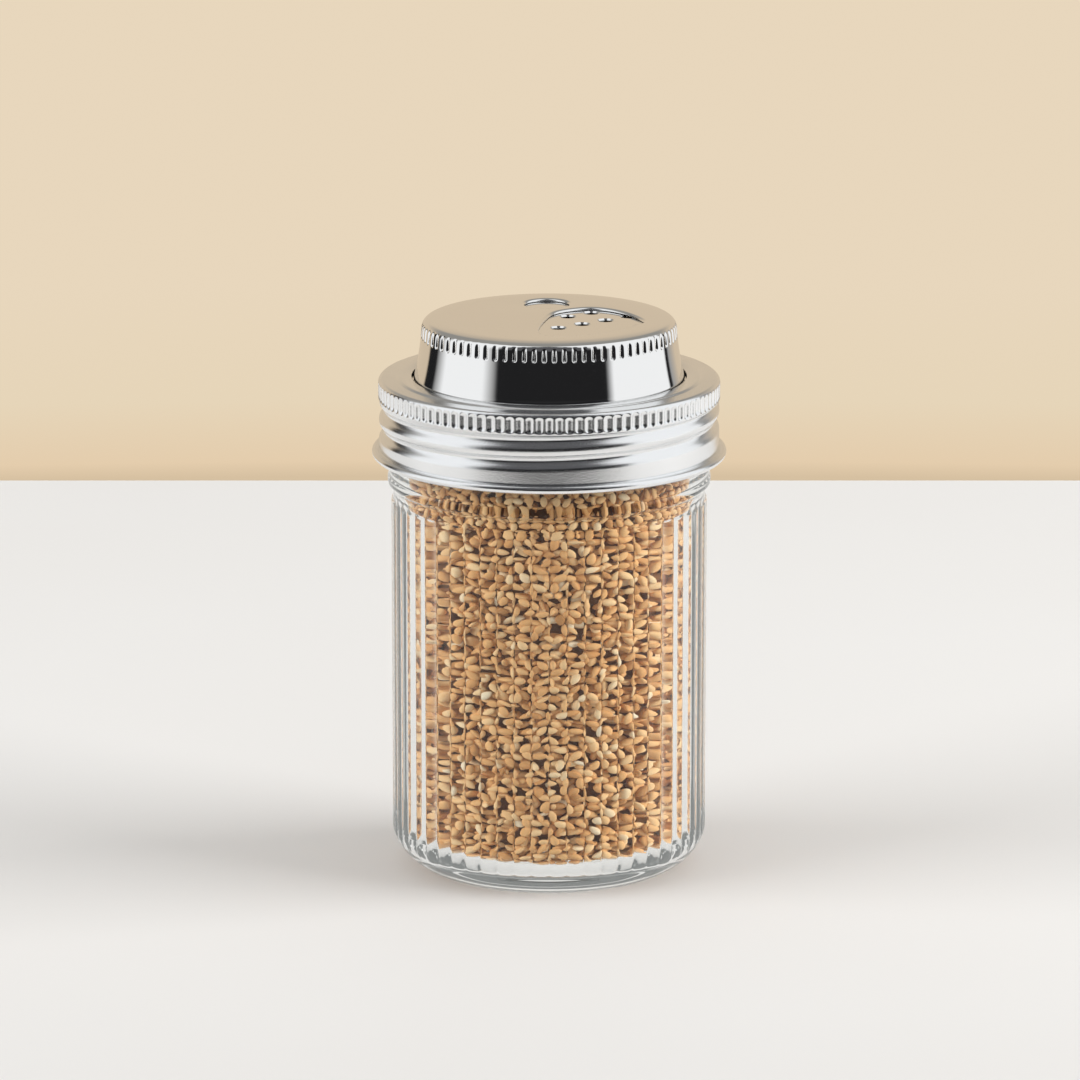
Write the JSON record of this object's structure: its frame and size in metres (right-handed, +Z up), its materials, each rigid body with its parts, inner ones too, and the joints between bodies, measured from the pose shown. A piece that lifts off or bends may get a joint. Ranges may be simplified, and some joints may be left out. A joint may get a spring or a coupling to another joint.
{
  "type": "spice jar",
  "caption": "Ribbed clear glass spice jar of sesame seeds with a knurled steel screw band and a polished turning shaker cap.",
  "frame": {"origin": "centre of the foot's ring face, on the jar's axis", "axes": "+Z up along the jar's axis, and the front of the jar faces -Y"},
  "size_m": [0.0734, 0.0734, 0.117],
  "materials": {
    "clear_glass": "gloss",
    "satin_steel": "satin",
    "polished_chrome": "gloss",
    "seal_rubber": "matte",
    "sesame": "satin"
  },
  "bodies": {
    "jar": {"glass_jar": "clear_glass", "sesame_seeds": "sesame"},
    "lid": {"shaker_insert": "polished_chrome", "seal_ring": "seal_rubber"},
    "band": {"screw_band": "satin_steel"},
    "cap": {"shaker_cap": "polished_chrome"}
  },
  "joints": [
    {"name": "lid_lift", "type": "slide", "parent": "jar", "child": "lid", "axis": [0, 0, 1], "range_m": [0, 0.0153]},
    {"name": "band_turn", "type": "hinge", "parent": "lid", "child": "band", "pos_m": [0, 0, 0.0955], "axis": [0, 0, 1], "range_deg": [0, 1300]},
    {"name": "cap_turn", "type": "hinge", "parent": "lid", "child": "cap", "pos_m": [0, 0, 0.11], "axis": [0, 0, 1], "continuous": true}
  ],
  "couplings": [
    {"joint": "lid_lift", "follows": "band_turn", "m_per_rad": 0.0006737}
  ]
}
